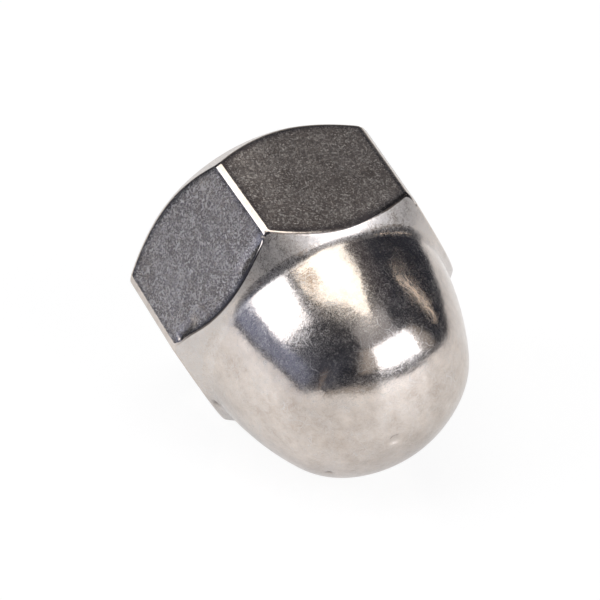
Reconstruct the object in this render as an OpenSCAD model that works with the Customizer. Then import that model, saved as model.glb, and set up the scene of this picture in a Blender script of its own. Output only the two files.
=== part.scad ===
// High domed cap nut: a hexagon with a closed, rounded crown over a blind
// tapped hole, forged and turned in one piece of stainless steel.
//
// Frame: the origin is the centre of the bearing face, and +Z runs along the
// thread axis towards the crown. One corner of the hexagon points along +X.
// All lengths are in millimetres and all angles in degrees.

/* [Hexagon] */
// Width across the flats, which is the wrench size
across_flats = 16; // [15.5:0.1:18]
// Height of the hexagon, from the bearing face to the foot of the crown
hexagon_h = 8.8; // [7.5:0.1:9.5]
// Radius along the six upright edges
edge_r = 0.4; // [0.1:0.05:0.8]
// Diameter of the bearing face inside its chamfer
bearing_d = 15.2; // [14:0.1:15.8]
// Angle between the bearing face and its chamfer
bearing_chamfer = 45; // [20:1:50]
// Angle between the shoulder, on the crown's side of the hexagon, and the bearing face
shoulder_angle = 45; // [20:1:50]

/* [Crown] */
// Overall height, from the bearing face to the top of the crown
overall_h = 17.7; // [17.3:0.1:19]
// Diameter of the crown at its foot, where it meets the shoulder
crown_d = 15.1; // [14.4:0.1:15.3]
// Inward lean of the crown's flank at its foot
flank_lean = 5.6; // [3:0.1:8]
// Radius of the long arc up the flank
flank_r = 17.5; // [14:0.5:24]
// Radius of the arc that turns the flank into the nose
turn_r = 4.2; // [2:0.1:5]
// Radius of the nose around the top of the crown
nose_r = 7.6; // [7.5:0.1:9]
// Radius of the hollow fillet between the shoulder and the flank
fillet_r = 1.2; // [0.3:0.1:3]

/* [Thread] */
// Nominal diameter of the metric thread
thread_d = 10; // [8:0.5:12]
// Pitch of the thread
thread_pitch = 1.5; // [0.75:0.25:2]
// Depth of the tapped hole at its full diameter
thread_depth = 13; // [9:0.5:14]
// Point angle of the tapping drill
drill_point = 118; // [90:1:140]
// How much wider than the thread the countersink at the mouth is
countersink_over = 0.4; // [0.2:0.1:1]
// Included angle of the countersink
countersink_angle = 90; // [60:5:120]

/* [Hidden] */

$fn = 96;

// hexagon, from its axis
corner_x = across_flats / sqrt(3);
edge_x = (across_flats / 2 - edge_r) / cos(30);

// foot of the crown, and the ends of the upright edges
crown_x = crown_d / 2;
bearing_x = bearing_d / 2;
shoulder_z = hexagon_h - (corner_x - crown_x) * tan(shoulder_angle);
bearing_z = (corner_x - bearing_x) * tan(bearing_chamfer);

// centres of the crown's three arcs, as [distance from the axis, height]
foot = [crown_x, hexagon_h];
flank_c = foot - flank_r * heading(flank_lean);
nose_c = [0, overall_h - nose_r];
turn_c = meet(flank_c, flank_r - turn_r, nose_c, nose_r - turn_r);

// heights at which one arc hands over to the next
flank_top = (turn_c + turn_r * unit(turn_c - flank_c))[1];
turn_top = (turn_c + turn_r * unit(turn_c - nose_c))[1];

// hollow fillet, which touches the shoulder cone and the flank arc
shoulder_out = [sin(shoulder_angle), cos(shoulder_angle)];
shoulder_up = [-cos(shoulder_angle), sin(shoulder_angle)];
shoulder_gap = (flank_c - foot) * shoulder_out;
shoulder_run = (flank_c - foot) * shoulder_up;
fillet_c = foot + fillet_r * shoulder_out
    + (shoulder_run - sqrt(pow(flank_r + fillet_r, 2) - pow(fillet_r - shoulder_gap, 2)))
    * shoulder_up;
fillet_low = fillet_c - fillet_r * shoulder_out;
fillet_high = fillet_c - fillet_r * unit(fillet_c - flank_c);

// tapped hole
drill_x = (thread_d - thread_pitch) / 2;
drill_tip_z = thread_depth + drill_x / tan(drill_point / 2);
mouth_x = thread_d / 2 + countersink_over / 2;
mouth_z = (mouth_x - drill_x) / tan(countersink_angle / 2);
overcut = 1;

// Unit vector at an angle above the horizontal, and the one along a vector
function heading(angle) = [cos(angle), sin(angle)];
function unit(v) = v / norm(v);

// Outer meeting point of a circle around a and a circle around b
function meet(a, ra, b, rb) =
    let (d = norm(b - a),
         u = unit(b - a),
         along = (ra * ra - rb * rb + d * d) / (2 * d),
         aside = sqrt(ra * ra - along * along))
    a + along * u + aside * [-u[1], u[0]];

// What a disc around c covers between two heights, on the +X side of the axis
module band(c, r, low, high) {
    intersection() {
        translate(c) circle(r);
        polygon([[0, low], [corner_x, low], [corner_x, high], [0, high]]);
    }
}

// Half section of the crown: flank, turn and nose, each touching the next
module crown_section() {
    band(flank_c, flank_r, fillet_high[1], flank_top);
    band(turn_c, turn_r, flank_top, turn_top);
    band(nose_c, nose_r, turn_top, overall_h + overcut);
}

// Half section of the hollow fillet between the shoulder and the crown
module fillet_section() {
    difference() {
        polygon([
            [0, fillet_low[1]],
            [fillet_c[0], fillet_low[1]],
            [fillet_c[0], fillet_high[1]],
            [0, fillet_high[1]],
        ]);
        translate(fillet_c) circle(fillet_r);
    }
}

// Half section of the hexagon, chamfered at the bearing face and at the shoulder
module hexagon_section() {
    polygon([
        [0, 0],
        [bearing_x, 0],
        [corner_x, bearing_z],
        [corner_x, shoulder_z],
        fillet_low,
        [0, fillet_low[1]],
    ]);
}

// Turned blank, before the flats are formed
module blank() {
    rotate_extrude() {
        hexagon_section();
        fillet_section();
        crown_section();
    }
}

// Hexagon with rounded corners, one of them on +X
module rounded_hexagon() {
    for (corner = [0:60:300]) translate(edge_x * heading(corner)) circle(edge_r);
    polygon([for (corner = [0:60:300], side = [-30, 30])
        edge_x * heading(corner) + edge_r * heading(corner + side)]);
}

// Blind tapping hole with its drill point, and the countersink at its mouth
module tapped_hole() {
    rotate_extrude()
        polygon([
            [0, -overcut],
            [mouth_x, -overcut],
            [mouth_x, 0],
            [drill_x, mouth_z],
            [drill_x, thread_depth],
            [0, drill_tip_z],
        ]);
}

module cap_nut() {
    color("silver")
        difference() {
            intersection() {
                linear_extrude(overall_h + overcut) rounded_hexagon();
                blank();
            }
            tapped_hole();
        }
}

cap_nut();
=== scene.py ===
import math

import bmesh
import bpy
import numpy as np
from mathutils import Matrix, Vector


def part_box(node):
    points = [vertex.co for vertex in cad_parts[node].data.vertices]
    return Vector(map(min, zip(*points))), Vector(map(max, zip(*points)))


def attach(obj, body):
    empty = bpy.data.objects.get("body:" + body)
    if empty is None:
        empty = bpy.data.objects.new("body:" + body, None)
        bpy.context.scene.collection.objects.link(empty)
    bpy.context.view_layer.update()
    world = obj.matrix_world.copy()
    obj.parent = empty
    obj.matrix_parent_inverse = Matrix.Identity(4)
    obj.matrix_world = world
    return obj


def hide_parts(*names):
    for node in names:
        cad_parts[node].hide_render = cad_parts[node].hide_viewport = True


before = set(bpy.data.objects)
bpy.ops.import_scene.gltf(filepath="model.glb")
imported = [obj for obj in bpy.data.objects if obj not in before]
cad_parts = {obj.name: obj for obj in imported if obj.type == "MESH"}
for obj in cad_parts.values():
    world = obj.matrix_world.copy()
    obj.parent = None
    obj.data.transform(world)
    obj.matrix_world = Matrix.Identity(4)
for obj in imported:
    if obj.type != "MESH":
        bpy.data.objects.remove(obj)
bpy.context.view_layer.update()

mm = 0.001  # in metres

nutLow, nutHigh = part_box("cap_nut")
acrossFlats = nutHigh.y - nutLow.y
overallHeight = nutHigh.z - nutLow.z
print("frame loaded: %.1f mm across flats, %.1f mm high" % (acrossFlats / mm, overallHeight / mm))


cameraSetup = {
    "azimuth": 90.3,  # degrees round the nut, 90 looks at the corner on +X
    "elevation": 33.62,  # degrees above the plane of the bearing face
    "roll": 146.6,  # degrees, as the nut lies over on one of its flats
    "distance": 12.5,  # widths across flats, from the point aimed at
    "aim": 0.46,  # widths across flats, up the nut's axis
    "lens": 210.04,  # mm, on a sensor 36 mm wide
    "shiftX": -0.0283,
    "shiftY": 0.0177,
    "nearest": 0.1,  # widths across flats, from which the camera sees
    "farthest": 400.0,  # and to which
}

# the nut lies on one flat's shoulder edge and on its crown, so what it lies on
# is a plane that leans against it; these are the angles of that plane's upright
restPlane = {
    "azimuth": 60.0,
    "elevation": -13.5,
}


def towards(azimuth, elevation):
    # unit vector from the nut at an azimuth that is 0 on -Y and 90 on +X, and an elevation
    turn = math.radians(azimuth)
    rise = math.radians(elevation)
    flat = math.cos(rise)
    return Vector((math.sin(turn) * flat, -math.cos(turn) * flat, math.sin(rise)))


cameraBack = towards(cameraSetup["azimuth"], cameraSetup["elevation"])
aimPoint = Vector((0, 0, cameraSetup["aim"] * acrossFlats))
levelRight = (-cameraBack).cross(Vector((0, 0, 1))).normalized()
levelUp = levelRight.cross(-cameraBack)
cameraRoll = math.radians(cameraSetup["roll"])
cameraRight = math.cos(cameraRoll) * levelRight + math.sin(cameraRoll) * levelUp
cameraUp = math.cos(cameraRoll) * levelUp - math.sin(cameraRoll) * levelRight

camera = bpy.data.objects.new("camera", bpy.data.cameras.new("camera"))
bpy.context.scene.collection.objects.link(camera)
camera.data.lens = cameraSetup["lens"]
camera.data.shift_x = cameraSetup["shiftX"]
camera.data.shift_y = cameraSetup["shiftY"]
camera.data.clip_start = cameraSetup["nearest"] * acrossFlats
camera.data.clip_end = cameraSetup["farthest"] * acrossFlats
camera.matrix_world = Matrix.Translation(
    aimPoint + cameraBack * cameraSetup["distance"] * acrossFlats
) @ Matrix((cameraRight, cameraUp, cameraBack)).transposed().to_4x4()
bpy.context.scene.camera = camera

setUp = towards(restPlane["azimuth"], restPlane["elevation"])
setFront = (cameraBack - cameraBack.dot(setUp) * setUp).normalized()
setRight = setUp.cross(setFront)


def onSet(azimuth, elevation):
    # unit vector from the nut at an azimuth that is 0 under the camera and 90 at its
    # right, and an elevation above the plane that the nut lies on
    turn = math.radians(azimuth)
    rise = math.radians(elevation)
    level = math.cos(turn) * setFront + math.sin(turn) * setRight
    return math.cos(rise) * level + math.sin(rise) * setUp


print("camera placed")


nut = {
    # the source's own sizes, in mm and degrees
    "hexagonHeight": 8.8,
    "edgeRadius": 0.4,
    "bearingDiameter": 15.2,
    "chamferAngle": 45.0,
    "shoulderAngle": 45.0,
    "crownDiameter": 15.1,
    "flankLean": 5.6,
    "flankRadius": 17.5,
    "turnRadius": 4.2,
    "noseRadius": 7.6,
    "filletRadius": 1.2,
    "threadDiameter": 10.0,
    "threadPitch": 1.5,
    "threadDepth": 13.0,
    "drillPoint": 118.0,
    "countersinkOver": 0.4,
    "countersinkAngle": 90.0,
    # tumbling has rounded these edges
    "bearingEdge": 0.2,
    "chamferEdge": 0.4,
    "shoulderEdge": 0.4,
    "sharpShoulderEdge": 0.2,  # past the +X corner
    # how deep each upright edge is worn, from the one on +X round, how far the crowned
    # facet that this leaves leans back, its radius, and how softly it ends
    "cornerWear": (0.02, 0.05, 0.04, 0.06, 0.04, 0.1),
    "cornerLean": (0, 0, 0, 0, 0, 7.0),
    "cornerCrown": 1.2,
    "cornerBlend": 0.004,
    # how far the +X edge wanders towards its bearing end, in degrees round the axis, how
    # far to each side this reaches, and the height at which it ends
    "cornerTwist": 1.4,
    "twistReach": 18.0,
    "twistHeight": 7.0,
    # the shoulder's line, forged askew: how far it rises past the +X corner, falls before
    # the next one, and bulges on the flat before it, with angles in degrees past the corner
    "lineRise": 0.1,
    "lineFall": 0.2,
    "lineReach": 14.0,
    "lineRamp": 12.0,
    "lineBulge": 0.15,
    "bulgeMiddle": -16.0,
    "bulgeReach": 22.0,
    # the height where this lift starts to fade in, over how much height it does, where it
    # has faded out, and over how much height that was
    "liftStart": 5.5,
    "liftFadeIn": 1.6,
    "liftEnd": 11.5,
    "liftFadeOut": 2.5,
    # the thread's root as a share of its pitch, the angle between its sides, the turns
    # over which it fades out, and the turns of plain hole left above it
    "threadRoot": 0.125,
    "threadAngle": 60.0,
    "threadFade": 1.2,
    "threadLeft": 0.5,
}

nutGrid = {
    # columns round the axis, on each corner's arc and on each flat between
    "cornerColumns": 10,
    "flatColumns": 46,
    "cornerCrowding": 0.6,  # 0 for even columns on the flats, up to 1 for close ones at the corners
    # rows up the outside
    "bearingRows": 8,
    "arcRows": 6,
    "chamferRows": 6,
    "flatRows": 30,
    "shoulderRows": 5,
    "filletRows": 8,
    "flankRows": 26,
    "turnRows": 22,
    "noseRows": 44,
    "noseCrowding": 1.35,  # 1 for even rows, more for close ones at the top
    # rows in the bore
    "rowsPerTurn": 10,
    "wallRows": 4,
    "pointRows": 6,
    "rowSnap": 0.02,  # mm, within which a row is moved onto the end of the thread
    # how close the rows and columns at a flat side's ends are to its ends, as shares
    "rowGuard": 0.012,
    "columnGuard": 0.006,
    # mm, within which points are merged, and the length under which an edge is removed
    "mergeDistance": 0.0004,
    "shortestEdge": 0.0001,
}


def heading(angle):
    # unit vector at an angle in degrees above the radius, as (radius, height)
    return np.array([math.cos(math.radians(angle)), math.sin(math.radians(angle))])


def unitOf(vector):
    return vector / np.linalg.norm(vector)


def meetOf(a, ra, b, rb):
    # outer meeting point of a circle round a and a circle round b: along the line of
    # centres by (ra^2 - rb^2 + d^2) / 2d, then square to it by what ra leaves
    gap = np.linalg.norm(b - a)
    across = (b - a) / gap
    along = (ra**2 - rb**2 + gap**2) / (2 * gap)
    aside = math.sqrt(ra**2 - along**2)
    return a + along * across + aside * np.array([-across[1], across[0]])


def spread(count, guard):
    # shares from 0 to 1, even but for one close to each end, which keeps a flat side
    # flat right up to the arc beside it
    return np.concatenate([[0.0], np.linspace(guard, 1 - guard, count), [1.0]])


def straightRows(start, end, count):
    # points from start to end on every column: start + share * (end - start)
    share = spread(count, nutGrid["rowGuard"])[:, None, None]
    return start + share * (end - start)


def angleOf(point, centre):
    return math.degrees(math.atan2(point[1] - centre[1], point[0] - centre[0])) % 360


def arcRows(centre, radius, start, end, count, crowding):
    # centre + radius * (cos a, sin a), with a from the start's angle to the end's, by even
    # steps of 1 - (1 - share)^crowding
    share = 1 - (1 - np.linspace(0, 1, count + 1)) ** crowding
    first = angleOf(start, centre)
    angle = np.radians(first + share * (angleOf(end, centre) - first))
    ring = np.stack([np.cos(angle), np.sin(angle)], 1)
    return centre + radius * ring[:, None, :]


def roundedEdge(before, edge, after, radius, count):
    # the arc that touches both sides of an edge on every column: its ends lie
    # radius / tan(half the angle between the sides) from the edge, its centre on the
    # bisector, and its points turn evenly from one end to the other about the centre
    first = (before - edge) / np.linalg.norm(before - edge, axis=-1, keepdims=True)
    second = (after - edge) / np.linalg.norm(after - edge, axis=-1, keepdims=True)
    half = np.arccos(np.clip((first * second).sum(-1, keepdims=True), -1, 1)) / 2
    middle = (first + second) / np.linalg.norm(first + second, axis=-1, keepdims=True)
    centre = edge + middle * radius / np.sin(half)
    start = edge + first * radius / np.tan(half) - centre
    end = edge + second * radius / np.tan(half) - centre
    turn = np.pi - 2 * half
    share = np.linspace(0, 1, count + 1)[:, None, None]
    return centre + (np.sin((1 - share) * turn) * start + np.sin(share * turn) * end) / np.sin(turn)


# the source's derived points, each as (radius, height) in mm
flatHalf = acrossFlats / mm / 2
edgeCentre = (flatHalf - nut["edgeRadius"]) / math.cos(math.radians(30))
foot = np.array([nut["crownDiameter"] / 2, nut["hexagonHeight"]])
flankCentre = foot - nut["flankRadius"] * heading(nut["flankLean"])
noseCentre = np.array([0, overallHeight / mm - nut["noseRadius"]])
turnCentre = meetOf(
    flankCentre,
    nut["flankRadius"] - nut["turnRadius"],
    noseCentre,
    nut["noseRadius"] - nut["turnRadius"],
)
shoulderOut = heading(90 - nut["shoulderAngle"])
shoulderUp = heading(180 - nut["shoulderAngle"])
shoulderGap = (flankCentre - foot) @ shoulderOut
shoulderRun = (flankCentre - foot) @ shoulderUp
filletReach = math.sqrt(
    (nut["flankRadius"] + nut["filletRadius"]) ** 2 - (nut["filletRadius"] - shoulderGap) ** 2
)
filletCentre = foot + nut["filletRadius"] * shoulderOut + (shoulderRun - filletReach) * shoulderUp
filletLow = filletCentre - nut["filletRadius"] * shoulderOut
filletHigh = filletCentre - nut["filletRadius"] * unitOf(filletCentre - flankCentre)
flankTop = turnCentre + nut["turnRadius"] * unitOf(turnCentre - flankCentre)
turnTop = turnCentre + nut["turnRadius"] * unitOf(turnCentre - noseCentre)
crownTop = np.array([0, overallHeight / mm])
drillRadius = (nut["threadDiameter"] - nut["threadPitch"]) / 2
mouthRadius = (nut["threadDiameter"] + nut["countersinkOver"]) / 2
drillTip = nut["threadDepth"] + drillRadius / math.tan(math.radians(nut["drillPoint"] / 2))

# columns: a corner's arc from one tangent point to the other, then the flat, six times
tangent = math.degrees(
    math.atan2(
        nut["edgeRadius"] * math.sin(math.radians(30)),
        edgeCentre + nut["edgeRadius"] * math.cos(math.radians(30)),
    )
)
cornerShare = np.linspace(-tangent, tangent, nutGrid["cornerColumns"] + 1)
flatShare = spread(nutGrid["flatColumns"], nutGrid["columnGuard"])
flatShare = flatShare - nutGrid["cornerCrowding"] * np.sin(2 * np.pi * flatShare) / (2 * np.pi)
flatShare = tangent + flatShare * (60 - 2 * tangent)
oneSixth = np.concatenate([cornerShare, flatShare[1:-1]])
columns = np.radians((oneSixth[None, :] + 60 * np.arange(6)[:, None]).ravel())
# degrees past the +X corner, from -180 to 180
pastCorner = np.degrees(columns)
pastCorner = np.where(pastCorner > 180, pastCorner - 360, pastCorner)


def fromNearest(angle):
    # angle past the nearest corner, in radians: what is left over whole sixths of a turn
    return (angle + np.pi / 6) % (np.pi / 3) - np.pi / 6


def hexagonReach(angle):
    # distance from the axis to the rounded hexagon: half the width across flats over the
    # cosine of the angle from the flat's middle, or on a corner the far root of its circle
    corner = fromNearest(angle)
    side = flatHalf / np.cos(np.pi / 6 - np.abs(corner))
    inside = np.maximum(nut["edgeRadius"] ** 2 - (edgeCentre * np.sin(corner)) ** 2, 0)
    arc = edgeCentre * np.cos(corner) + np.sqrt(inside)
    sharp = np.where(np.abs(np.degrees(corner)) < tangent, arc, side)
    # the worn facet: x = c + y tan(lean) - y^2 / 2R across the corner, joined on by a soft
    # minimum, as far out as it would touch the flats
    which = np.round(angle / (np.pi / 3)).astype(int) % 6
    slope = np.tan(np.radians(nut["cornerLean"]))[which]
    depth = edgeCentre + nut["edgeRadius"] - np.array(nut["cornerWear"])[which]
    aside = depth * np.tan(corner)
    facet = (depth + slope * aside - aside**2 / (2 * nut["cornerCrown"])) / np.cos(corner)
    blend = nut["cornerBlend"]
    worn = np.minimum(sharp, facet) - blend * np.log1p(np.exp(-np.abs(sharp - facet) / blend))
    return np.where(np.abs(aside) < nut["cornerCrown"] * math.tan(math.radians(30)), worn, sharp)


def eased(share):
    # 0 to 1 with level ends: 3 s^2 - 2 s^3
    share = np.clip(share, 0, 1)
    return share**2 * (3 - 2 * share)


def askewRamp():
    # 1 on the flat past the +X corner, and down to 0 over a ramp at both its corners
    first = eased((pastCorner + tangent) / nut["lineRamp"])
    last = eased((60 + tangent - pastCorner) / nut["lineRamp"])
    return first * last


def liftShoulder(rows):
    # the shoulder and its fillet are lifted on each column, in mm: rise * e^-(a / reach)^2
    # at an angle a past the +X corner, less fall * e^-(b / reach)^2 at b before the next,
    # and bulge * e^-(c / its reach)^4 at c from the bulge's middle; the lift fades out down
    # the flats and up the flank
    rise = nut["lineRise"] * np.exp(-((pastCorner / nut["lineReach"]) ** 2))
    fall = nut["lineFall"] * np.exp(-(((pastCorner - 60) / nut["lineReach"]) ** 2))
    fromBulge = pastCorner - nut["bulgeMiddle"]
    bulge = nut["lineBulge"] * np.exp(-((fromBulge / nut["bulgeReach"]) ** 4))
    lift = askewRamp() * (rise - fall) + bulge
    height = rows[..., 1]
    fadeIn = eased((height - nut["liftStart"]) / nut["liftFadeIn"])
    fadeOut = eased((nut["liftEnd"] - height) / nut["liftFadeOut"])
    share = fadeIn * fadeOut
    return rows + np.stack([0 * share, share * lift], -1)


def cornerTurn(rows):
    # how far each point is turned about the axis, in radians: the twist at the +X corner,
    # fading with cos^2 of the angle from it, with the height up to the shoulder, and with
    # the radius in to the bore's mouth
    angle = 90 * pastCorner / nut["twistReach"]
    near = np.where(np.abs(angle) < 90, np.cos(np.radians(angle)) ** 2, 0)
    low = np.clip(1 - rows[..., 1] / nut["twistHeight"], 0, 1)
    outer = np.clip((rows[..., 0] - mouthRadius) / (nut["bearingDiameter"] / 2 - mouthRadius), 0, 1)
    return math.radians(nut["cornerTwist"]) * near * low * outer


def outsideRows():
    # the half section of every column, from the bore's mouth to the top of the crown:
    # bearing face, chamfer, hexagon side, shoulder, fillet, flank, turn and nose, with a
    # rounded edge between the first four; and the name of each row's zone
    reach = hexagonReach(columns)
    full = np.ones_like(reach)
    bearing = nut["bearingDiameter"] / 2
    rise = np.tan(np.radians(nut["chamferAngle"]))
    fall = np.tan(np.radians(nut["shoulderAngle"]))
    mouth = np.stack([mouthRadius * full, 0 * full], -1)
    bearingRim = np.stack([bearing * full, 0 * full], -1)
    chamferRim = np.stack([reach, (reach - bearing) * rise], -1)
    shoulderRim = np.stack([reach, foot[1] - (reach - foot[0]) * fall], -1)
    shoulderFoot = full[:, None] * filletLow
    arcCount = nutGrid["arcRows"]
    bearingArc = roundedEdge(mouth, bearingRim, chamferRim, nut["bearingEdge"], arcCount)
    chamferArc = roundedEdge(bearingRim, chamferRim, shoulderRim, nut["chamferEdge"], arcCount)
    sharp = askewRamp()[:, None]
    shoulderRadius = nut["shoulderEdge"] + sharp * (nut["sharpShoulderEdge"] - nut["shoulderEdge"])
    shoulderArc = roundedEdge(chamferRim, shoulderRim, shoulderFoot, shoulderRadius, arcCount)
    bearingFace = straightRows(mouth, bearingArc[0], nutGrid["bearingRows"])
    chamfer = straightRows(bearingArc[-1], chamferArc[0], nutGrid["chamferRows"])
    side = straightRows(chamferArc[-1], shoulderArc[0], nutGrid["flatRows"])
    shoulder = straightRows(shoulderArc[-1], shoulderFoot, nutGrid["shoulderRows"])
    curves = [
        arcRows(centre, nut[arc + "Radius"], start, end, nutGrid[arc + "Rows"], crowding)
        for arc, centre, start, end, crowding in (
            ("fillet", filletCentre, filletLow, filletHigh, 1.0),
            ("flank", flankCentre, filletHigh, flankTop, 1.0),
            ("turn", turnCentre, flankTop, turnTop, 1.0),
            ("nose", noseCentre, turnTop, crownTop, nutGrid["noseCrowding"]),
        )
    ]
    fillet, flank, turn, nose = [np.repeat(curve, len(columns), axis=1) for curve in curves]
    zones = [
        ("bearing", bearingFace),
        ("edge", bearingArc),
        ("chamfer", chamfer),
        ("edge", chamferArc),
        ("side", side),
        ("rim", shoulderArc),
        ("shoulder", shoulder),
        ("fillet", fillet),
        ("crown", flank),
        ("crown", turn),
        ("crown", nose),
    ]
    names = np.concatenate([[name] * (len(rows) - 1) for name, rows in zones] + [["crown"]])
    rows = np.concatenate([rows[:-1] for name, rows in zones] + [nose[-1:]])
    return liftShoulder(rows), names


def threadCut(height):
    # how far a tapped hole's wall is cut back over one pitch: nothing on the crests, the
    # thread's whole depth at the roots, and straight sides at half the thread's angle
    pitch = nut["threadPitch"]
    deep = nut["threadDiameter"] / 2 - drillRadius
    rootHalf = nut["threadRoot"] * pitch / 2
    slope = 1 / math.tan(math.radians(nut["threadAngle"] / 2))
    fromRoot = np.abs((height / pitch) % 1 - 0.5) * pitch
    return np.clip(deep - (fromRoot - rootHalf) * slope, 0, deep)


def boreRows():
    # a grid sheared by one pitch a turn, so that its rows run along the thread: height =
    # pitch * (row / rows per turn - 1 + turn), held between the mouth and the plain
    # hole; the wall is the wider of the thread, which fades out, and the countersink; then
    # come the plain hole and the drill's cone
    pitch = nut["threadPitch"]
    turn = (columns - columns[0]) / (2 * np.pi)
    last = nut["threadDepth"] - nut["threadLeft"] * pitch
    count = int(round((last / pitch + 2) * nutGrid["rowsPerTurn"]))
    row = np.arange(count + 1)[:, None] / nutGrid["rowsPerTurn"]
    free = pitch * (row - 1 + turn[None, :])
    free = np.where(np.abs(free - last) < nutGrid["rowSnap"], last, free)
    free = np.where(np.abs(free) < nutGrid["rowSnap"], 0, free)
    height = np.clip(free, 0, last)
    fade = np.clip((last - nut["threadLeft"] * pitch - height) / (nut["threadFade"] * pitch), 0, 1)
    phase = pitch * np.broadcast_to(row, free.shape)
    countersink = mouthRadius - height * math.tan(math.radians(nut["countersinkAngle"] / 2))
    reach = np.maximum(drillRadius + threadCut(phase) * fade, countersink)
    wound = np.stack([reach, height], -1)
    full = np.ones_like(columns)[:, None]
    wallStart = full * np.array([drillRadius, last])
    wallEnd = full * np.array([drillRadius, nut["threadDepth"]])
    tip = full * np.array([0, drillTip])
    wall = straightRows(wallStart, wallEnd, nutGrid["wallRows"])
    point = straightRows(wallEnd, tip, nutGrid["pointRows"])
    return wound, np.concatenate([wall[:-1], point])


def gridFaces(first, rows, count, lift=0):
    # four-sided faces between neighbouring rows and columns; the last column joins the
    # first one, lift rows further on
    row, column = np.meshgrid(np.arange(rows - 1), np.arange(count - 1), indexing="ij")
    at = first + row * count + column
    inner = np.stack([at, at + 1, at + count + 1, at + count], -1).reshape(-1, 4)
    row = np.arange(rows - 1 - lift)
    end = first + row * count + count - 1
    start = first + (row + lift) * count
    seam = np.stack([end, start, start + count, end + count], -1)
    return np.concatenate([inner, seam])


def turned(rows, extra=0):
    # (radius, height) on every column, turned about the axis by its angle and by what is
    # extra, to x, y and z in metres
    x = rows[..., 0] * np.cos(columns + extra)
    y = rows[..., 0] * np.sin(columns + extra)
    return np.stack([x, y, rows[..., 1]], -1).reshape(-1, 3) * mm


# the finish of each zone: the noise height under which it is pitted, the roughness of
# its pits, and how far its facets tilt
finishOf = {
    "bearing": (0.50, 0.38, 0.056),
    "edge": (0.42, 0.30, 0.021),
    "chamfer": (0.48, 0.38, 0.042),
    "side": (0.425, 0.38, 0.08),
    "shoulder": (0.56, 0.42, 0.042),
    "fillet": (0.50, 0.40, 0.035),
    "rim": (0.42, 0.30, 0.021),
    "crown": (0.43, 0.37, 0.021),
    "bore": (0.50, 0.40, 0.056),
}
wornMargin = 0.3  # mm, along the edges of each flat, where the frosting has worn off
wornLeast = 0.01  # mm, the least distance that counts, so that nothing divides by zero


def finishRows(outside, names, boreCount):
    # a finish for each point; on the flats it goes over to the worn edge's with the
    # distance to the edges, 1 / hypot(1 / a, 1 / b): edge + (side - edge) * distance / margin
    finish = np.array([finishOf[name] for name in names] + [finishOf["bore"]] * boreCount)
    finish = np.repeat(finish[:, None, :], len(columns), axis=1)
    isSide = names == "side"
    side = outside[isSide]
    fromEnds = np.minimum(side[..., 1] - side[:1, :, 1], side[-1:, :, 1] - side[..., 1])
    aside = side[..., 0] * np.sin(np.abs(fromNearest(columns)))
    fromCorner = aside - flatHalf * np.sin(np.radians(tangent))
    nearest = 1 / np.hypot(
        1 / np.maximum(fromEnds, wornLeast), 1 / np.maximum(fromCorner, wornLeast)
    )
    inward = np.clip(nearest / wornMargin, 0, 1)[..., None]
    worn = np.array(finishOf["edge"])
    finish[: len(names)][isSide] = worn + (np.array(finishOf["side"]) - worn) * inward
    return finish


# painted shade in the crease of the shoulder's line, a dark colour that stands in for its shadow, as a
# share of each part
creaseShadeSetup = {
    "askewFlat": 0.85,
    "farEnd": 0.65,  # on the flat before the +X corner
    "farEndStart": -38.0,  # degrees from that corner
    "farEndRamp": 10.0,
}


def creaseShadeRows(names, count):
    # how much painted shade there is on each point: on the shoulder's line alone, along the whole of
    # the askew flat, and at the far end of the flat before it
    farEnd = eased((creaseShadeSetup["farEndStart"] - pastCorner) / creaseShadeSetup["farEndRamp"])
    farEnd = farEnd * (pastCorner > -60)
    onLine = creaseShadeSetup["askewFlat"] * askewRamp() + creaseShadeSetup["farEnd"] * farEnd
    shadeAndMarks = np.zeros((count, len(columns)))
    shadeAndMarks[: len(names)][names == "rim"] = onLine
    return shadeAndMarks


# marks of use: the ends of each as (x, y, z) in mm, its radius and depth in mm, and how
# much darker its colour is made in its middle
markSetup = {
    "turningCentre": {
        "from": (0.42, 0.30, 17.68),
        "to": (0.42, 0.30, 17.68),
        "radius": 0.36,
        "depth": 0.12,
        "darkening": 0.15,
    },
    "pit": {
        "from": (-1.10, 4.40, 16.19),
        "to": (-1.10, 4.40, 16.19),
        "radius": 0.16,
        "depth": 0.09,
        "darkening": 0.7,
    },
    "cornerStreak": {
        "from": (7.92, 2.27, 7.5),
        "to": (8.9, 0.4, 7.4),
        "radius": 0.2,
        "depth": 0.06,
        "darkening": 0.0,
    },
    "farCornerNick": {
        "from": (5.09, 7.19, 7.17),
        "to": (5.67, 6.19, 7.22),
        "radius": 0.22,
        "depth": 0.05,
        "darkening": 0.5,
    },
    "leftNick": {
        "from": (-0.46, 7.68, 8.69),
        "to": (-0.3, 7.7, 8.6),
        "radius": 0.2,
        "depth": 0.12,
        "darkening": 0.6,
    },
}

waveSetup = {
    # soft waves that forging leaves in the crown
    "seed": 12,
    "count": 14,
    "shortest": 3.5,  # mm
    "longest": 7.0,  # mm
    "depth": 0.05,  # mm from the highest crest to the deepest hollow
    "fadeIn": 2.0,  # mm above the fillet
    "fadeOut": 0.3,  # mm under the top
}

skinGuard = {
    # how far past the bore's mouth, and how far over a cone on the drill's tip that falls
    # by a share of the distance from the axis, a point is on the nut's outside, in mm
    "pastMouth": 0.01,
    "overTip": 0.1,
    "fall": 0.5,
}


def markField(points, value):
    # a value of the marks at each point, such as how far it is pressed in: the most that
    # value * e^-(d / radius)^4 comes to at a distance d from a mark's line
    total = np.zeros(len(points))
    tiny = 1e-9  # for a mark that is a point
    for mark in markSetup.values():
        start = np.array(mark["from"])
        run = np.array(mark["to"]) - start
        share = np.clip((points - start) @ run / max(run @ run, tiny), 0, 1)[:, None]
        distance = np.linalg.norm(points - start - share * run, axis=1)
        total = np.maximum(total, mark[value] * np.exp(-((distance / mark["radius"]) ** 4)))
    return total


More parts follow.
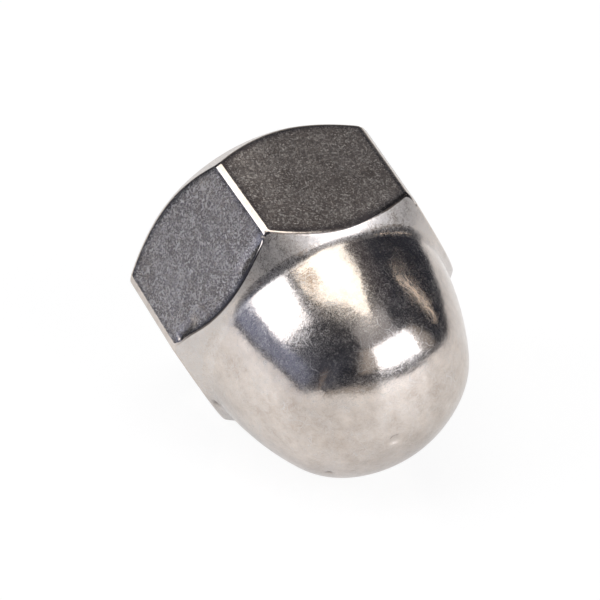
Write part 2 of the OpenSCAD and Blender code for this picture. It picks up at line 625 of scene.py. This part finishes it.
def waveDepth(points):
    # a sum of plane waves with random headings, lengths and phases, scaled so that it runs
    # from 0 to the depth asked for; it fades in above the fillet and out under the top
    random = np.random.default_rng(waveSetup["seed"])
    headings = random.normal(size=(waveSetup["count"], 3))
    headings /= np.linalg.norm(headings, axis=1, keepdims=True)
    lengths = random.uniform(waveSetup["shortest"], waveSetup["longest"], waveSetup["count"])
    phases = random.uniform(0, 2 * np.pi, waveSetup["count"])
    wave = np.sin(points @ (headings * 2 * np.pi / lengths[:, None]).T + phases).sum(1)
    wave = (wave - wave.min()) / (wave.max() - wave.min())
    fadeIn = np.clip((points[:, 2] - filletHigh[1]) / waveSetup["fadeIn"], 0, 1)
    fadeOut = np.clip((overallHeight / mm - points[:, 2]) / waveSetup["fadeOut"], 0, 1)
    return waveSetup["depth"] * wave * fadeIn * fadeOut


def buildNut():
    outside, names = outsideRows()
    wound, plain = boreRows()
    count = len(columns)
    grids = [outside, wound, plain]
    points = np.concatenate([turned(outside, cornerTurn(outside)), turned(wound), turned(plain)])
    firsts = np.cumsum([0] + [rows.shape[0] * count for rows in grids])
    faces = np.concatenate(
        [
            gridFaces(firsts[0], len(outside), count),
            gridFaces(firsts[1], len(wound), count, nutGrid["rowsPerTurn"])[:, ::-1],
            gridFaces(firsts[2], len(plain), count)[:, ::-1],
        ]
    )
    finish = finishRows(outside, names, len(wound) + len(plain))
    shadeAndMarks = creaseShadeRows(names, len(outside) + len(wound) + len(plain))
    mesh = bpy.data.meshes.new("capNut")
    mesh.from_pydata(points.tolist(), [], faces.tolist())
    finishField = mesh.attributes.new("finish", "FLOAT_VECTOR", "POINT")
    finishField.data.foreach_set("vector", finish.ravel())
    # painted shade along the shoulder's line, to which the marks' darkening is added below
    shadeAndMarksField = mesh.attributes.new("shadeAndMarks", "FLOAT", "POINT")
    shadeAndMarksField.data.foreach_set("value", shadeAndMarks.ravel())

    # merge the seams, the poles and the rows that are held at the mouth
    sewn = bmesh.new()
    sewn.from_mesh(mesh)
    bmesh.ops.remove_doubles(sewn, verts=sewn.verts, dist=nutGrid["mergeDistance"] * mm)
    bmesh.ops.dissolve_degenerate(sewn, edges=sewn.edges, dist=nutGrid["shortestEdge"] * mm)
    bmesh.ops.recalc_face_normals(sewn, faces=sewn.faces)
    sewn.to_mesh(mesh)
    sewn.free()

    # press in the marks and the waves along the normals
    points = np.empty(len(mesh.vertices) * 3)
    normals = np.empty(len(mesh.vertices) * 3)
    mesh.vertices.foreach_get("co", points)
    mesh.vertices.foreach_get("normal", normals)
    points = points.reshape(-1, 3) / mm
    fromAxis = np.hypot(points[:, 0], points[:, 1])
    cone = drillTip + skinGuard["overTip"] - skinGuard["fall"] * fromAxis
    outward = (fromAxis > mouthRadius + skinGuard["pastMouth"]) | (points[:, 2] > cone)
    # the marks make the colour darker in their middles, in the same attribute as the painted crease
    # shade
    shadeAndMarks = np.empty(len(points))
    mesh.attributes["shadeAndMarks"].data.foreach_get("value", shadeAndMarks)
    shadeAndMarks = np.maximum(shadeAndMarks, markField(points, "darkening") * outward)
    mesh.attributes["shadeAndMarks"].data.foreach_set("value", shadeAndMarks)
    press = (markField(points, "depth") + waveDepth(points)) * outward
    points -= press[:, None] * normals.reshape(-1, 3)
    mesh.vertices.foreach_set("co", (points * mm).ravel())
    mesh.polygons.foreach_set("use_smooth", np.ones(len(mesh.polygons), bool))
    mesh.update()
    piece = bpy.data.objects.new("capNut", mesh)
    bpy.context.scene.collection.objects.link(piece)
    return piece


capNut = buildNut()
print("cap nut built: %d faces" % len(capNut.data.polygons))

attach(capNut, "root")
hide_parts("cap_nut")


def linearColour(code):
    # sRGB hex to linear light, with an alpha of one
    parts = [int(code[i : i + 2], 16) / 255 for i in (1, 3, 5)]
    return [c / 12.92 if c <= 0.04045 else ((c + 0.055) / 1.055) ** 2.4 for c in parts] + [1.0]


def addNode(tree, kind, inputs=None, **settings):
    # adds a node, makes its settings, gives each input a value or a link, and returns its outputs
    node = tree.nodes.new(kind)
    for name, value in settings.items():
        setattr(node, name, value)
    for socket, value in (inputs or {}).items():
        if isinstance(value, bpy.types.NodeSocket):
            tree.links.new(value, node.inputs[socket])
        else:
            node.inputs[socket].default_value = value
    return node.outputs


def newMaterial(name):
    material = bpy.data.materials.new(name)
    material.use_nodes = True
    material.node_tree.nodes.clear()
    return material, material.node_tree


# stainless steel that was forged, turned and then tumbled with stones: a warm grey
# mirror on the crown, hazed by fine matt pits, and frosted flats that glitter in points
tumbledSteel = {
    "base": "#D8CDC3",
    "baseDull": "#A89B90",
    "pitTone": "#C8C3BF",
    # dark colour of the painted crease shade along the shoulder's line, and of the marks' darkening
    "shadeAndMarkTone": "#2E2826",
    # each noise's size in mm, its detail and its roughness
    "noises": {
        "pits": (0.025, 2.0, 0.6),  # only show as a haze round the reflections
        "flecks": (0.22, 2.0, 0.6),  # a few times the real flecks, so that they show
        "clumps": (0.9, 2.0, 0.6),  # in which the pits are denser
        "bends": (1.2, 1.0, 0.5),  # how the hair scratches wander
        "breaks": (1.2, 3.0, 0.6),  # where they are broken off
        "clouds": (2.2, 6.0, 0.75),  # faint, in the colour
        "ripple": (1.6, 1.0, 0.5),  # soft waves that tumbling leaves
        "grain": (0.45, 2.0, 0.6),  # a fine orange peel
    },
    "polished": 0.1,  # roughness of the plateaus between the pits, where facets are level
    "polishedLean": 1.58,  # and how much it grows with the facets' tilt
    "pitSoftness": 0.16,  # how far a pit's rim spreads, in the noise's heights
    "fleckShare": 0.15,  # of the pits' pattern that follows the flecks
    "clumpShare": 0.22,
    "facetSize": 0.08,  # mm, marks of the tumbling stones, coarser than the real ones
    "facetPits": 4.0,  # how much the pits differ from facet to facet, for its tilt
    "facetChoice": 4.0,  # the more, the fewer facets are pitted, and the more they stand out
    "scratchSpacing": 0.8,  # mm, hair scratches
    "scratchWidth": 0.05,  # mm, twice the real width, so that they show
    "scratchCurl": 0.8,  # mm
    "scratchBreaks": (0.52, 0.6),  # noise heights between which a scratch fades out
    "cloudEdges": (0.3, 0.7),  # noise heights between which the colour grows dull
    "grainDepth": 0.006,  # mm
    "rippleDepth": 0.02,  # mm
}


def perMillimetre(size):
    # texture scale at which a pattern on Object coordinates has features of a size in mm
    return 1 / (size * mm)


def tumbledSteelMaterial(look):
    material, tree = newMaterial("tumbledStainlessSteel")
    place = addNode(tree, "ShaderNodeTexCoord")["Object"]
    finish = addNode(tree, "ShaderNodeAttribute", attribute_name="finish")["Vector"]
    zone = addNode(tree, "ShaderNodeSeparateXYZ", {"Vector": finish})
    pitHeight, pitRoughness, facetTilt = zone["X"], zone["Y"], zone["Z"]
    noise = {}
    for name, (size, detail, roughness) in look["noises"].items():
        noise[name] = addNode(
            tree,
            "ShaderNodeTexNoise",
            {"Vector": place, "Scale": perMillimetre(size), "Detail": detail, "Roughness": roughness},
        )

    # how the pits differ from facet to facet: tilt * amount * (1 / (choice + 1) -
    # height^choice), which makes a few facets rough and comes to nothing on average
    facets = addNode(
        tree, "ShaderNodeTexVoronoi", {"Vector": place, "Scale": perMillimetre(look["facetSize"])}
    )["Color"]
    facetHeight = addNode(tree, "ShaderNodeSeparateXYZ", {"Vector": facets})["X"]
    chosen = addNode(
        tree, "ShaderNodeMath", {0: facetHeight, 1: look["facetChoice"]}, operation="POWER"
    )["Value"]
    rarity = addNode(
        tree, "ShaderNodeMath", {0: 1 / (look["facetChoice"] + 1), 1: chosen}, operation="SUBTRACT"
    )["Value"]
    facetPits = addNode(
        tree, "ShaderNodeMath", {0: facetTilt, 1: look["facetPits"]}, operation="MULTIPLY"
    )["Value"]
    pitted = addNode(tree, "ShaderNodeMath", {0: rarity, 1: facetPits}, operation="MULTIPLY")["Value"]

    # pits: the lowest part of a fine noise with flecks in it, denser in clumps
    fleckShare = look["fleckShare"]
    fine = addNode(
        tree, "ShaderNodeMath", {0: noise["pits"]["Fac"], 1: 1 - fleckShare}, operation="MULTIPLY"
    )["Value"]
    flecks = addNode(
        tree, "ShaderNodeMath", {0: noise["flecks"]["Fac"], 1: fleckShare}, operation="MULTIPLY"
    )["Value"]
    clumps = addNode(
        tree,
        "ShaderNodeMapRange",
        {
            "Value": noise["clumps"]["Fac"],
            "To Min": -look["clumpShare"] / 2,
            "To Max": look["clumpShare"] / 2,
        },
    )["Result"]
    uneven = addNode(tree, "ShaderNodeMath", {0: flecks, 1: pitted}, operation="ADD")["Value"]
    unclumped = addNode(tree, "ShaderNodeMath", {0: fine, 1: uneven}, operation="ADD")["Value"]
    pits = addNode(tree, "ShaderNodeMath", {0: unclumped, 1: clumps}, operation="ADD")["Value"]
    depth = addNode(tree, "ShaderNodeMath", {0: pitHeight, 1: pits}, operation="SUBTRACT")["Value"]
    pitShare = addNode(
        tree,
        "ShaderNodeMapRange",
        {"Value": depth, "From Min": -look["pitSoftness"], "From Max": look["pitSoftness"]},
        interpolation_type="SMOOTHSTEP",
    )["Result"]

    # hair scratches: bent cell borders, broken up by a noise, as matt as the pits
    offset = addNode(
        tree,
        "ShaderNodeVectorMath",
        {0: noise["bends"]["Color"], "Scale": look["scratchCurl"] * mm},
        operation="SCALE",
    )["Vector"]
    bent = addNode(tree, "ShaderNodeVectorMath", {0: place, 1: offset}, operation="ADD")["Vector"]
    border = addNode(
        tree,
        "ShaderNodeTexVoronoi",
        {"Vector": bent, "Scale": perMillimetre(look["scratchSpacing"])},
        feature="DISTANCE_TO_EDGE",
    )["Distance"]
    halfWidth = look["scratchWidth"] / look["scratchSpacing"] / 2
    line = addNode(
        tree,
        "ShaderNodeMapRange",
        {"Value": border, "From Max": halfWidth, "To Min": 1.0, "To Max": 0.0},
    )["Result"]
    fadeStart, fadeEnd = look["scratchBreaks"]
    unbroken = addNode(
        tree,
        "ShaderNodeMapRange",
        {"Value": noise["breaks"]["Fac"], "From Min": fadeStart, "From Max": fadeEnd},
    )["Result"]
    scratches = addNode(tree, "ShaderNodeMath", {0: line, 1: unbroken}, operation="MULTIPLY")["Value"]
    matt = addNode(tree, "ShaderNodeMath", {0: pitShare, 1: scratches}, operation="MAXIMUM")["Value"]

    # roughness: the pits' where it is matt, and the plateaus' between
    leaning = addNode(
        tree, "ShaderNodeMath", {0: facetTilt, 1: look["polishedLean"]}, operation="MULTIPLY"
    )["Value"]
    plateau = addNode(
        tree, "ShaderNodeMath", {0: leaning, 1: look["polished"]}, operation="ADD"
    )["Value"]
    rise = addNode(tree, "ShaderNodeMath", {0: pitRoughness, 1: plateau}, operation="SUBTRACT")["Value"]
    risen = addNode(tree, "ShaderNodeMath", {0: matt, 1: rise}, operation="MULTIPLY")["Value"]
    rough = addNode(tree, "ShaderNodeMath", {0: risen, 1: plateau}, operation="ADD")["Value"]

    # colour: faint clouds, the pits' own tone, and painted shade in the creases with the marks'
    # darkening; 6 and 7 are the Mix node's two colours, and 2 is what it makes of them
    cloudLow, cloudHigh = look["cloudEdges"]
    cloud = addNode(
        tree,
        "ShaderNodeMapRange",
        {"Value": noise["clouds"]["Fac"], "From Min": cloudLow, "From Max": cloudHigh},
    )["Result"]
    tint = addNode(
        tree,
        "ShaderNodeMix",
        {"Factor": cloud, 6: linearColour(look["base"]), 7: linearColour(look["baseDull"])},
        data_type="RGBA",
    )[2]
    metal = addNode(
        tree,
        "ShaderNodeMix",
        {"Factor": matt, 6: tint, 7: linearColour(look["pitTone"])},
        data_type="RGBA",
    )[2]
    # the painted crease shade and the marks' darkening at each point
    shadeAndMarkShare = addNode(tree, "ShaderNodeAttribute", attribute_name="shadeAndMarks")["Fac"]
    colour = addNode(
        tree,
        "ShaderNodeMix",
        {"Factor": shadeAndMarkShare, 6: metal, 7: linearColour(look["shadeAndMarkTone"])},
        data_type="RGBA",
    )[2]

    # relief: soft waves, an orange peel, and facets that each lean their own way
    ripple = addNode(
        tree,
        "ShaderNodeBump",
        {"Height": noise["ripple"]["Fac"], "Strength": 1.0, "Distance": look["rippleDepth"] * mm},
    )["Normal"]
    grain = addNode(
        tree,
        "ShaderNodeBump",
        {
            "Height": noise["grain"]["Fac"],
            "Normal": ripple,
            "Strength": 1.0,
            "Distance": look["grainDepth"] * mm,
        },
    )["Normal"]
    level = (0.5, 0.5, 0.5)
    lean = addNode(tree, "ShaderNodeVectorMath", {0: facets, 1: level}, operation="SUBTRACT")["Vector"]
    tilt = addNode(
        tree, "ShaderNodeVectorMath", {0: lean, "Scale": facetTilt}, operation="SCALE"
    )["Vector"]
    tilted = addNode(tree, "ShaderNodeVectorMath", {0: grain, 1: tilt}, operation="ADD")["Vector"]
    normal = addNode(tree, "ShaderNodeVectorMath", {0: tilted}, operation="NORMALIZE")["Vector"]
    shader = addNode(
        tree,
        "ShaderNodeBsdfPrincipled",
        {"Base Color": colour, "Metallic": 1.0, "Roughness": rough, "Normal": normal},
    )["BSDF"]
    addNode(tree, "ShaderNodeOutputMaterial", {"Surface": shader})
    return material


capNut.data.materials.append(tumbledSteelMaterial(tumbledSteel))
print("metal made")


floorSetup = {
    "radius": 45.0,  # widths across flats
    "rings": 40,
    "spokes": 96,
    "paint": "#FFFFFF",
    "glow": 0.9,  # share of the floor that is plain white to the camera
    "inMetal": 0.5,  # how much of that the metal shows, so that the nut's shadow shows in it
    "sheen": 0.8,  # how much of a clear coat's gloss the paper has
    "sheenRoughness": 0.3,
}

studioSetup = {
    "radius": 44.0,  # widths across flats
    "rings": 24,
    "spokes": 48,
    "dark": "#30343F",
    "strength": 1.0,
}

# each lamp's middle and size are angles seen from the nut, in degrees on the set
lampSetup = {
    "softboxRight": {
        "azimuth": 56.5, "elevation": 27, "width": 42, "height": 36,
        "turn": 0, "glow": 3.6, "tone": "#F2F6FF",
    },
    "softboxLeft": {
        "azimuth": -76, "elevation": 37, "width": 42, "height": 33,
        "turn": 0, "glow": 3.6, "tone": "#F2F6FF",
    },
    "softboxTop": {
        "azimuth": -124, "elevation": 84, "width": 46, "height": 45,
        "turn": 41, "glow": 2.8, "tone": "#FFFCF6",
    },
}
lampDistance = 22.0  # widths across flats
plainWhite = "#FFFFFF"

# cards, a flag and walls, as they stand round such a set and show in the metal, and a dim sheet of
# painted shade over the floor; their angles are given as the lamps' are, and their distances in widths
# across flats
cardSetup = {
    "blueWall": {
        "azimuth": -67, "elevation": 12, "width": 86, "height": 17,
        "distance": 40.0, "glow": 0.68, "tone": "#AAB6DA",
    },
    "tanPost": {
        "azimuth": -24.5, "elevation": 11, "width": 4, "height": 22,
        "distance": 38.0, "glow": 0.75, "tone": "#BCB2AC",
    },
    "floorEnd": {
        "azimuth": 8, "elevation": -3.2, "width": 46, "height": 6,
        "distance": 5.0, "glow": 0.45, "tone": "#E8DED4",
    },
    "tanCard": {
        "azimuth": -55, "elevation": 69, "width": 8, "height": 13,
        "distance": 19.0, "glow": 0.7, "tone": "#E0BE98",
    },
    "bounceCard": {
        "azimuth": -106, "elevation": 58, "width": 18, "height": 16,
        "distance": 20.0, "glow": 2.4, "tone": "#FFFFFF",
    },
    "dimWall": {
        "azimuth": -25, "elevation": 17, "width": 32, "height": 28,
        "distance": 41.0, "glow": 0.16, "tone": "#B4BEDC",
    },
    "softPanel": {
        "azimuth": 44, "elevation": 58, "width": 38, "height": 20,
        "distance": 25.0, "glow": 0.5, "tone": "#F2F4FC",
    },
    "softEdge": {
        "azimuth": 26, "elevation": 27, "width": 21, "height": 34,
        "distance": 25.0, "glow": 0.5, "tone": "#FFF8F2",
    },
    "softEdgeRight": {
        "azimuth": 87, "elevation": 23, "width": 17, "height": 34,
        "distance": 25.0, "glow": 0.36, "tone": "#FFF8F2",
    },
    # painted shade: a dim sheet low over the floor that stands for the floor being less lit between the
    # softboxes, as the metal shows it
    "paintedFloorShade": {
        "azimuth": -2, "elevation": -9, "width": 58, "height": 7,
        "distance": 5.0, "glow": 0.7, "tone": "#E8DED4",
    },
    "backWall": {
        "azimuth": 178, "elevation": 14, "width": 64, "height": 34,
        "distance": 40.0, "glow": 0.3, "tone": "#E8E4E0",
    },
    "creamStrip": {
        "azimuth": 121, "elevation": 28, "width": 1.0, "height": 28,
        "distance": 24.0, "glow": 5.0, "tone": "#FFF2E4",
    },
    "darkFlag": {
        "azimuth": 140, "elevation": 66, "width": 44, "height": 18,
        "distance": 19.0, "glow": 0.07, "tone": "#D2CCEA",
    },
}


def ringFaces(first, gaps, spokes):
    # four-sided faces in the gaps between rings of points, each ring closed on itself
    row, spoke = np.meshgrid(np.arange(gaps), np.arange(spokes), indexing="ij")
    following = (spoke + 1) % spokes
    inner = first + row * spokes
    outer = inner + spokes
    corners = [inner + spoke, outer + spoke, outer + following, inner + following]
    return np.stack(corners, -1).reshape(-1, 4)


def floorMesh(setup, middle):
    # a disc on the plane that the nut lies on: middle + r (cos a * front + sin a * right),
    # with rings that widen outwards as the square of their share
    share = np.linspace(0, 1, setup["rings"] + 1)[1:] ** 2
    angle = np.linspace(0, 2 * np.pi, setup["spokes"], endpoint=False)
    radius = setup["radius"] * acrossFlats * share[:, None, None]
    front = np.array(setFront)
    right = np.array(setRight)
    ring = np.cos(angle)[:, None] * front + np.sin(angle)[:, None] * right
    points = np.concatenate([middle[None, :], (middle + radius * ring[None]).reshape(-1, 3)])
    quads = ringFaces(1, setup["rings"] - 1, setup["spokes"])
    spoke = np.arange(setup["spokes"])
    middleFaces = np.stack([0 * spoke, 1 + spoke, 1 + (spoke + 1) % setup["spokes"]], -1)
    mesh = bpy.data.meshes.new("floor")
    mesh.from_pydata(points.tolist(), [], middleFaces.tolist() + quads.tolist())
    return mesh


def studioMesh(setup, middle):
    # the upper half of a sphere round the set: middle + R (cos e * level(a) + sin e * up)
    elevation = np.linspace(0, np.pi / 2, setup["rings"] + 1)[:, None, None]
    azimuth = np.linspace(0, 2 * np.pi, setup["spokes"], endpoint=False)[:, None]
    level = np.cos(azimuth) * np.array(setFront) + np.sin(azimuth) * np.array(setRight)
    points = np.cos(elevation) * level[None] + np.sin(elevation) * np.array(setUp)
    points = (middle + setup["radius"] * acrossFlats * points).reshape(-1, 3)
    quads = ringFaces(0, setup["rings"], setup["spokes"])
    mesh = bpy.data.meshes.new("studio")
    mesh.from_pydata(points.tolist(), [], quads.tolist())
    return mesh


def isSeen(tree, inMetal=1.0):
    # one for the camera's rays, and a share for those that a metal or a glass sends on
    path = addNode(tree, "ShaderNodeLightPath")
    sentOn = addNode(
        tree,
        "ShaderNodeMath",
        {0: path["Is Glossy Ray"], 1: path["Is Transmission Ray"]},
        operation="ADD",
    )["Value"]
    return addNode(
        tree,
        "ShaderNodeMath",
        {0: sentOn, 1: inMetal, 2: path["Is Camera Ray"]},
        operation="MULTIPLY_ADD",
        use_clamp=True,
    )["Value"]


def paperMaterial(setup):
    # white paper: its own shade from the lamps, plus a share that is plain white to look
    # at; seen from beneath it isn't there, so that the nut shows from every side
    material, tree = newMaterial("whitePaper")
    seen = isSeen(tree, setup["inMetal"])
    paint = addNode(tree, "ShaderNodeBsdfDiffuse", {"Color": linearColour(setup["paint"])})["BSDF"]
    plain = {"Color": linearColour(plainWhite), "Strength": 1.0}
    white = addNode(tree, "ShaderNodeEmission", plain)["Emission"]
    share = addNode(tree, "ShaderNodeMath", {0: seen, 1: setup["glow"]}, operation="MULTIPLY")["Value"]
    lit = addNode(tree, "ShaderNodeMixShader", {"Fac": share, 1: paint, 2: white})["Shader"]
    grazing = addNode(tree, "ShaderNodeFresnel")["Fac"]
    gloss = addNode(
        tree, "ShaderNodeMath", {0: grazing, 1: setup["sheen"]}, operation="MULTIPLY"
    )["Value"]
    sheen = addNode(
        tree, "ShaderNodeBsdfGlossy", {"Color": gloss, "Roughness": setup["sheenRoughness"]}
    )["BSDF"]
    coated = addNode(tree, "ShaderNodeAddShader", {0: lit, 1: sheen})["Shader"]
    behind = addNode(tree, "ShaderNodeNewGeometry")["Backfacing"]
    clear = addNode(tree, "ShaderNodeBsdfTransparent")["BSDF"]
    whole = addNode(tree, "ShaderNodeMixShader", {"Fac": behind, 1: coated, 2: clear})["Shader"]
    addNode(tree, "ShaderNodeOutputMaterial", {"Surface": whole})
    return material


def glowMaterial(name, tone, strength):
    material, tree = newMaterial(name)
    look = {"Color": linearColour(tone), "Strength": strength}
    glow = addNode(tree, "ShaderNodeEmission", look)["Emission"]
    addNode(tree, "ShaderNodeOutputMaterial", {"Surface": glow})
    return material


coordinates = np.empty(len(capNut.data.vertices) * 3)
capNut.data.vertices.foreach_get("co", coordinates)
coordinates = coordinates.reshape(-1, 3)
nutMiddle = Vector((0, 0, overallHeight / 2))
floorLevel = float((coordinates @ np.array(setUp)).min())
floorMiddle = np.array(nutMiddle + (floorLevel - nutMiddle.dot(setUp)) * setUp)

floor = bpy.data.objects.new("floor", floorMesh(floorSetup, floorMiddle))
floor.data.materials.append(paperMaterial(floorSetup))
studio = bpy.data.objects.new("studio", studioMesh(studioSetup, floorMiddle))
studio.data.materials.append(glowMaterial("unlitStudio", studioSetup["dark"], studioSetup["strength"]))
studio.visible_camera = False
studio.visible_shadow = False
for item in (floor, studio):
    bpy.context.scene.collection.objects.link(item)


def facingNut(setup, distance):
    # place and size of a rectangle that faces the nut: its middle lies along the angles
    # asked for, and each side is 2 * distance * tan(half its angle)
    outward = onSet(setup["azimuth"], setup["elevation"])
    across = setUp.cross(outward).normalized()
    across = Matrix.Rotation(math.radians(setup.get("turn", 0)), 3, outward) @ across
    along = outward.cross(across)
    place = Matrix.Translation(nutMiddle + outward * distance)
    place = place @ Matrix((across, along, outward)).transposed().to_4x4()
    sides = [2 * distance * math.tan(math.radians(setup[side] / 2)) for side in ("width", "height")]
    return place, sides


for name, setup in lampSetup.items():
    place, sides = facingNut(setup, lampDistance * acrossFlats)
    lamp = bpy.data.objects.new(name, bpy.data.lights.new(name, "AREA"))
    lamp.data.shape = "RECTANGLE"
    lamp.data.size, lamp.data.size_y = sides
    lamp.data.energy = math.pi * setup["glow"] * sides[0] * sides[1]  # pi * radiance * area
    lamp.data.color = linearColour(setup["tone"])[:3]
    lamp.matrix_world = place
    lamp.visible_camera = False
    bpy.context.scene.collection.objects.link(lamp)

for name, setup in cardSetup.items():
    place, sides = facingNut(setup, setup["distance"] * acrossFlats)
    halfX, halfY = sides[0] / 2, sides[1] / 2
    corners = [(-halfX, -halfY, 0), (halfX, -halfY, 0), (halfX, halfY, 0), (-halfX, halfY, 0)]
    mesh = bpy.data.meshes.new(name)
    mesh.from_pydata([place @ Vector(corner) for corner in corners], [], [(3, 2, 1, 0)])
    card = bpy.data.objects.new(name, mesh)
    card.data.materials.append(glowMaterial(name, setup["tone"], setup["glow"]))
    card.visible_camera = False
    card.visible_shadow = False
    bpy.context.scene.collection.objects.link(card)

# the world is white to look at, and gives no light of its own
world = bpy.data.worlds.new("paleWorld")
bpy.context.scene.world = world
world.use_nodes = True
world.node_tree.nodes.clear()
sky = {"Color": linearColour(plainWhite), "Strength": isSeen(world.node_tree)}
background = addNode(world.node_tree, "ShaderNodeBackground", sky)["Background"]
addNode(world.node_tree, "ShaderNodeOutputWorld", {"Surface": background})
bpy.context.scene.view_settings.view_transform = "Standard"
print("set built")
